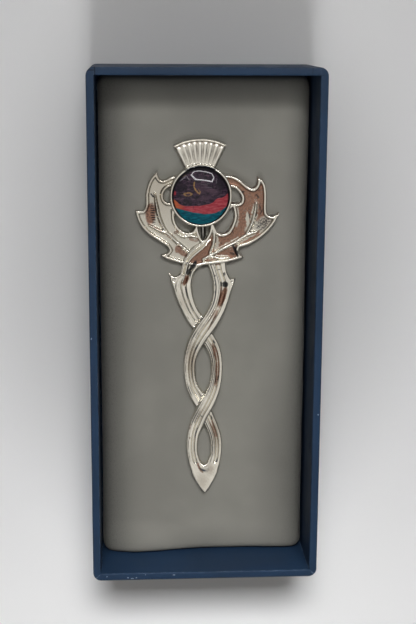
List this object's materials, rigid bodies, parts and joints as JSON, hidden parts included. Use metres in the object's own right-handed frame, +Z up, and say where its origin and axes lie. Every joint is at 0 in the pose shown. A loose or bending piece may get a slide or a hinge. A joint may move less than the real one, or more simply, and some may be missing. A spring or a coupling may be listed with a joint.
{
  "type": "kilt pin in an open presentation box",
  "caption": "Thistle kilt pin with a round domed banded stone and interlaced stems, lying on a foam pad in an open box tray.",
  "frame": {"origin": "middle of the tray's underside, on the surface that it stands on", "axes": "+Z up out of the tray, +Y along the pin towards the tuft, +X to the right seen from above"},
  "size_m": [0.056, 0.126, 0.0254],
  "materials": {
    "wrapped_board": "board wrapped in fine navy paper, matt",
    "foam": "warm grey foam with a fine flocked skin",
    "silver_plate": "polished silver plate on a cast body",
    "banded_stone": "glossy dome with purple, red and teal bands",
    "pin_steel": "bright drawn wire"
  },
  "bodies": {
    "root": {"box_tray": "wrapped_board", "pad": "foam", "thistle_casting": "silver_plate", "stone": "banded_stone", "brooch_pin": "pin_steel"}
  },
  "joints": []
}
